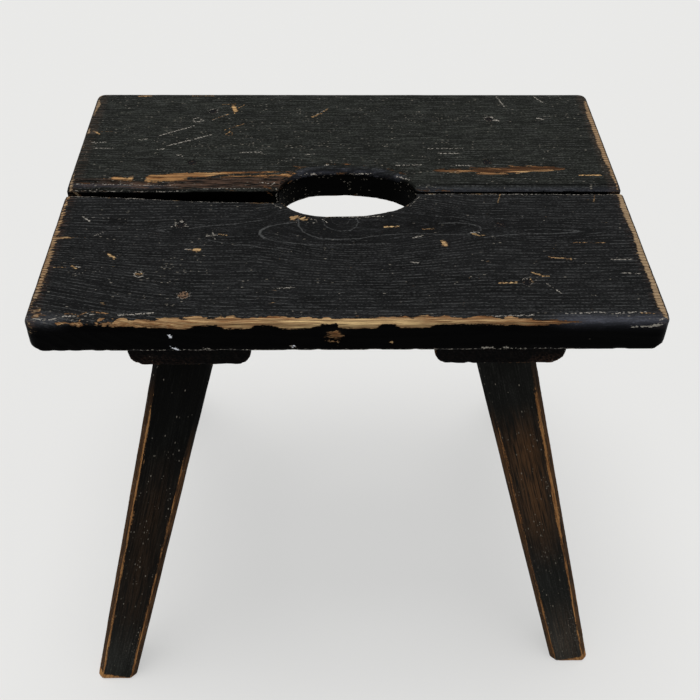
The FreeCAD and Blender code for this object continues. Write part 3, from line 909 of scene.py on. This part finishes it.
# A mark with a half width of 0 or less shows only in specks.
FRONT_BARE = top_strokes(
    (28, -46, 38, -45.5, 0.9), (55, -49, 64, -48.5, 0.3), (69, -64.5, 70, -68, 2),
    (-202, -92.5, -194, -92.5, 0.3), (-190, -91, -186, -94, 0.7), (-167.5, -77, -162, -82, 0.9),
    (-107, -73, -104.5, -73, 1.9), (-112, -73, -108, -73, 0.3), (91, -54.5, 96, -57, 0.7),
    (96, -57, 100, -56, 0.4), (142, -82.5, 157, -84.5, 0.7), (127, -99.5, 134, -103.5, 0.8),
    (134, -103.5, 138, -104, 0.5), (103, -111, 115, -111, 0.7), (162, -65.4, 184, -65.4, 0.2),
    (125, -106, 126, -110, 0.5), (204, -143.5, 193, -143, 0.4), (-60, -13, -52, -13.5, 0.4),
    (118, -2, 114, -16, 0.3), (-185, -141, -178, -142, 0.4), (-176, -143, -171, -140, 0.5),
    (-168, -139.5, -157, -141, 0.4), (190, -3, 187, -14, 0.3), (-144, -100, -141, -100, 0.9),
    (-112, -121.5, -108, -123, 1.6), (-92, -54, -86, -56, 0.5), (-190, -5, -186, -5, 0.5),
    (-131, -9, -127, -10, 0.5), (-97, -12, -93, -12.5, 0.5),
) + face_strokes((28, 372.5, 29, 372.5, 1), (-15, 373.5, -6, 372.5, 0.3), (-8, 382, -6, 379, 0.8))

FRONT_LIGHT = top_strokes(
    (-49, -116, -36, -115, 0.3), (-192, -33, -187, -38, 0.5), (-180, -56, -175, -52, 0.3),
    (-187, -33, -160, -36, -0.3), (-101, -57, -88, -55, 0.3), (-96, -53, -94, -60, 0.2),
    (135, -111.5, 144, -122.5, 0.15), (45, -88, 50, -88, 0.4), (90, -53, 96, -53, 0.4),
    (48, -59, 54, -58, 0.5), (143, -143, 170, -142, 0.3), (176, -143, 196, -142, 0.3),
    (90, -145.5, 122, -144.5, 0.3), (-28, -35, -22, -37, 0), (-18, -36, -14, -40, 0),
    (-24, -41, -20, -39, 0), (-204, -146, -200, -147, 0.6), (-194, -147, -189, -146, 0.5),
    (-186, -144, -178, -143.5, 0.5), (-172, -141, -166, -142, 0.4), (-187, -92, -184, -92, 0.4),
    (-205, -5, -165, -7, 0.9), (-165, -8, -110, -12, 0.8), (-110, -12.5, -56, -14, 0.9),
    (60, -3, 206, -4, 0.45), (-15, -33, 27, -33, 0.3), (-56, -10, -54, -17, 0.2), (-54, -17, -48, -22, 0.2),
    (48, -20, 56, -6, 0.1), (-150, -143, -128, -141, 0.5), (-190, -100, -170, -97, -0.3),
    (-127, -45, -114, -45, 0.1), (-121, -38, -119, -37, 0.3), (-114, -72, -110, -72, 0.4),
    (186, -85, 200, -85, 0.3), (190, -100, 202, -101, 0.2), (204, -149.5, 210.5, -146, 0.6),
    (210.5, -146, 211.5, -141, 0.3),
) + face_strokes(
    (-96, 367, -92, 367, 0.5), (-38, 369, -35, 368, 0.5), (89, 367, 96, 367, 0.6),
    (104, 367, 107, 367, 0.6), (186, 385, 197, 385.4, 0.5), (198, 385.4, 205, 387, 0.9),
    (-170, 365.6, 160, 365.6, 0.3),
)

# Drops of whitewash on the front face.
FRONT_DROPS = face_strokes(
    (-117.5, 379, -116.5, 377.5, 0.9), (-118, 369.5, -115.5, 367.5, 0.2), (-115, 367.5, -113, 366, 0.7),
    (-36, 369.5, -37, 368, 0.3),
)

FRONT_RINGS = top_rings((-120.5, -42, 3.4), (-110, -122, 3.6), (-142.5, -100.2, 3), (122.5, -109, 3))

BACK_BARE = top_strokes(
    (-93.5, 128, -91.5, 121, 2), (-92, 120, -91.6, 116, 0.4), (-102.5, 132, -92, 132.5, 0.5),
    (-90, 125, -84.5, 131, 0.3), (-98, 90, -82.6, 100, 0.2), (-97, 83, -92.5, 88.5, 0.3),
    (-97, 82, -91.5, 82, 0.3), (-92.5, 88.5, -91, 82, 0.2), (-109, 107, -96, 116, 0.2),
    (-26, 111, -19, 117, 0.7), (-19, 117, -13, 125, 0.2), (-176, 146, -166, 147, 0.8),
    (-130, 147, -112, 147, 0.3), (183, 22, 199, 22, 0.8), (-205, 88, -200, 84, 1),
    (-201, 87.5, -190, 87.5, 0.1), (-40, 35, -34, 34, 0.3), (42, 20, 50, 15, 0.8), (30, 29, 40, 27, 0.3),
    (-62, 8, -57, 6, 0.8), (-202, 12, -196, 11, 0.7),
) + [((-60, 3.5, 388), (-56, 3.5, 384), 0.7)]

BACK_LIGHT = top_strokes(
    (-150.5, 81.4, -124, 96.3, 0.4), (-142.3, 65.6, -108.5, 82.4, 0.45), (-109, 106.3, -98, 115.4, 0.3),
    (133, 146, 137.8, 129, 0.4), (165.8, 146, 172.5, 134.6, 0.4), (68, 61, 95, 61, 0.2),
    (75.6, 53.6, 92.6, 53.6, 0.45), (125, 106, 130, 105, 0.8), (163, 109, 168, 107, 0.6),
    (-122, 103, -117, 105, 0.4), (-25, 113, -14, 124, 0.2), (-84, 55, -66, 56, 0.3),
    (-166, 75, -160, 76, 0.5), (-205, 10.6, -130, 10.6, 0.15), (-205, 4.4, -120, 4.4, 0.1),
    (-112, 6, -60, 6, 0), (-37, 29, -27, 31, 0.4), (-22, 36, -11, 38, 0.3), (40, 36, 60, 37, 0.3),
    (88, 36, 100, 36, 0.4), (-53, 5, -52, 4, 0.6), (-66, 14, -58, 12, 0.2), (-57, 9, -54, 14, 0.3),
    (-200, 62, -186, 62, 0.3), (-204, 71, -192, 71, 0.2), (-150, 60, -144, 61, 0.3),
    (-133, 52, -129, 50, 0.4), (-30, 52, -24, 53, 0.3),
) + [
    ((-30, 29.5, 386), (32, 30.4, 386), 0.6), ((32, 30, 386), (50, 17, 389), 0.4),
    ((-53, 3.6, 388), (-52, 3.4, 378), 0.2),
]

BACK_RINGS = top_rings((-122, 106.3, 3.2), (-110, 121.5, 3.2), (122.5, 109, 3.2))

FRONT_PAINT = painted_wood(
    "front_board_paint", (0.0004, 0.0004, 0.0005), (0.0375, 0.038, 0.0385), FRONT_BARE, FRONT_LIGHT,
    FRONT_RINGS, KNOT_LINES, FRONT_DROPS,
)
BACK_PAINT = painted_wood(
    "back_board_paint", (0.001, 0.001, 0.001), (0.05, 0.053, 0.046), BACK_BARE, BACK_LIGHT, BACK_RINGS,
    rubbed=(0.088, 0.052, 0.035), film=(0.4, 0.64), shades=SCAR_PINE, streaky=2.2,
)
BATTEN_PAINT = painted_wood("batten_paint", (0.0006, 0.0006, 0.0007), (0.02, 0.02, 0.02))
LEG_PAINT = painted_wood(
    "leg_paint", (0.0012, 0.0012, 0.0012), (0.066, 0.067, 0.06), arrises=("face", "side"),
    rubbed=(0.095, 0.047, 0.021), film=(0.3, 0.62), shades=LEG_PINE, stretch=2.2, streaky=0.75,
)


def iron():
    """Black painted nail heads, rusty where the paint has gone."""
    material, graph, shader = new_material("nail_iron")
    place = graph.add("ShaderNodeTexCoord", {}, "Object")
    rust = graph.add("ShaderNodeTexNoise", {"Vector": place, "Scale": 700, "Detail": 3})
    colour = graph.blend(graph.rise(rust, 0.56, 0.66), (0.005, 0.005, 0.006), (0.05, 0.035, 0.025))
    # The front left nail has lost most of its paint.
    nail = (-110 * MM, -121.5 * MM, TOP * MM)
    off = graph.vector("DISTANCE", place, nail, output="Value")
    lost = graph.times(graph.rise(off, 6 * MM, 4 * MM), graph.rise(rust, 0.38, 0.56))
    colour = graph.blend(lost, colour, (0.17, 0.105, 0.065))
    normal = graph.add("ShaderNodeBump", {"Height": rust, "Distance": 0.0003, "Strength": 0.7})
    graph.feed(shader, {"Base Color": colour, "Roughness": 0.55, "Normal": normal, SPECULAR: 0.03})
    return material


def wedge_wood():
    """Plain pine in streaks of two shades."""
    material, graph, shader = new_material("wedge_pine")
    metres = graph.add("ShaderNodeTexCoord", {}, "Object")
    place = graph.add("ShaderNodeVectorMath", {0: metres, "Scale": 1 / MM}, operation="SCALE")
    streaks = graph.noise(place, (0.7, 0.7, 16), 3, 0.6)
    colour = graph.blend(graph.rise(streaks, 0.35, 0.7), ORANGE, TAN)
    normal = graph.add("ShaderNodeBump", {"Height": streaks, "Distance": 0.0003, "Strength": 0.6})
    graph.feed(shader, {"Base Color": colour, "Roughness": 0.6, "Normal": normal})
    return material


def dress(node, material):
    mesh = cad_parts[node].data
    mesh.materials.clear()
    mesh.materials.append(material)


# -------------------- stage and camera


def seen_directly(graph):
    """1 for rays from the camera, also by way of gloss or glass, and 0 for rays that light the stool."""
    ray = graph.tree.nodes.new("ShaderNodeLightPath").outputs
    return graph.most([ray["Is Camera Ray"], ray["Is Glossy Ray"], ray["Is Transmission Ray"]])


def floor():
    """A plain pale floor that runs on past the view."""
    mesh = bpy.data.meshes.new("floor")
    reach = 6  # metres
    corners = [(-reach, -reach, 0), (reach, -reach, 0), (reach, reach, 0), (-reach, reach, 0)]
    mesh.from_pydata(corners, [], [(0, 1, 2, 3)])
    material, graph, matte = new_material("pale_floor")
    graph.feed(matte, {"Base Color": (0.74, 0.73, 0.71, 1), "Roughness": 0.8, SPECULAR: 0})
    # Seen directly the floor is lifted towards white, and it still takes the stool's shadow.
    white = graph.add("ShaderNodeEmission", {"Color": (0.9, 0.9, 0.89, 1)})
    share = graph.times(seen_directly(graph), 0.55)
    both = graph.add("ShaderNodeMixShader", {0: share, 1: matte.outputs[0], 2: white})
    graph.feed(graph.tree.nodes["Material Output"], {"Surface": both})
    mesh.materials.append(material)
    ground = bpy.data.objects.new("floor", mesh)
    bpy.context.scene.collection.objects.link(ground)


def studio():
    """A soft pale sky and one broad lamp overhead."""
    world = bpy.data.worlds.new("studio")
    world.use_nodes = True
    graph = Graph(world.node_tree)
    nodes = world.node_tree.nodes
    sky = nodes["Background"]
    graph.feed(sky, {"Color": (0.96, 0.98, 1, 1), "Strength": 0.45})
    # Seen directly the sky is as pale as the floor, without lighting the stool more.
    pale = graph.add("ShaderNodeBackground", {"Color": (0.8, 0.8, 0.79, 1)})
    both = graph.add("ShaderNodeMixShader", {0: seen_directly(graph), 1: sky.outputs[0], 2: pale})
    graph.feed(nodes["World Output"], {"Surface": both})
    bpy.context.scene.world = world
    lamp = bpy.data.lights.new("overhead", "SUN")
    lamp.energy = 1.7
    lamp.angle = math.radians(35)
    holder = bpy.data.objects.new("overhead", lamp)
    holder.rotation_euler = (math.radians(-6), math.radians(-4), 0)
    bpy.context.scene.collection.objects.link(holder)


def camera():
    """Standing in front of the stool and looking down on it, level but for a slight roll."""
    data = bpy.data.cameras.new("view")
    data.sensor_width = 36
    data.lens = 51.43
    holder = bpy.data.objects.new("view", data)
    place = Matrix.Translation((-0.0118, -0.6392, 0.8177))  # metres
    for axis, degrees in (("Z", -1.52), ("X", 47.2), ("Z", 0.775)):
        place = place @ Matrix.Rotation(math.radians(degrees), 4, axis)
    holder.matrix_world = place
    bpy.context.scene.collection.objects.link(holder)
    bpy.context.scene.camera = holder


# -------------------- the making

camera()
studio()
floor()
front_board()
back_board()
for side in LEG_SIDES:
    batten(side)
for end, side in itertools.product(LEG_ENDS, LEG_SIDES):
    leg(end, side)
nail_iron, wedge_pine = iron(), wedge_wood()
for end in LEG_ENDS:
    dress(end + "_board_nails", nail_iron)
for end, side in itertools.product(LEG_ENDS, LEG_SIDES):
    dress(f"{end}_{side}_wedge", wedge_pine)

bpy.context.scene.view_settings.view_transform = "Standard"
